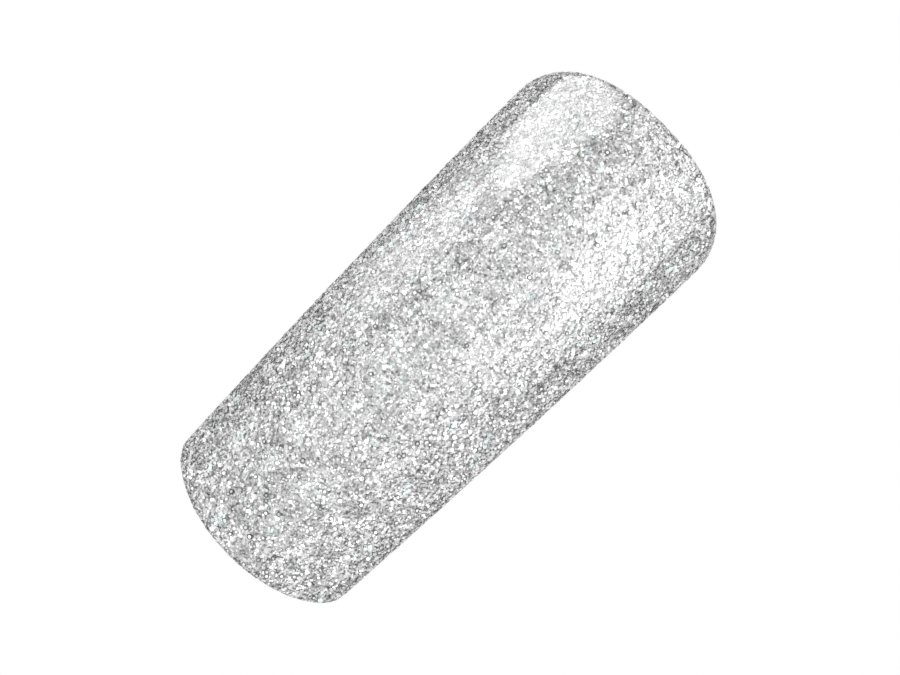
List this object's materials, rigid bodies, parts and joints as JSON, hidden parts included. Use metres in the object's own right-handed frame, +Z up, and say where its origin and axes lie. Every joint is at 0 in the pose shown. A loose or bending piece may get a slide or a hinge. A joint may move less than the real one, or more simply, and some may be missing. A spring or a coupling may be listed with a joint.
{
  "type": "artificial nail tip with glitter polish",
  "caption": "Curved full-cover nail tip with a seat for the natural nail underneath, finished in silver glitter gel polish under a clear top coat.",
  "frame": {"origin": "centre of the footprint, on the plane the nail rests on", "axes": "+Y from the free edge to the cuticle edge, +X across the nail, +Z up, away from the finger"},
  "size_m": [0.0104, 0.025, 0.0044],
  "materials": {
    "tip_plastic": "natural moulded ABS, satin",
    "clear_gel": "clear cured gel, high gloss",
    "silver_gel": "silver shimmer gel, satin",
    "silver_film": "metallised film, mirror",
    "iridescent_film": "iridescent film, mirror"
  },
  "bodies": {
    "root": {"nail_tip": "tip_plastic", "base_coat": "clear_gel", "first_colour_coat": "silver_gel", "second_colour_coat": "silver_gel", "fine_flakes": "silver_film", "coarse_flakes": "silver_film", "iridescent_flakes": "iridescent_film", "top_coat": "clear_gel"}
  },
  "joints": []
}
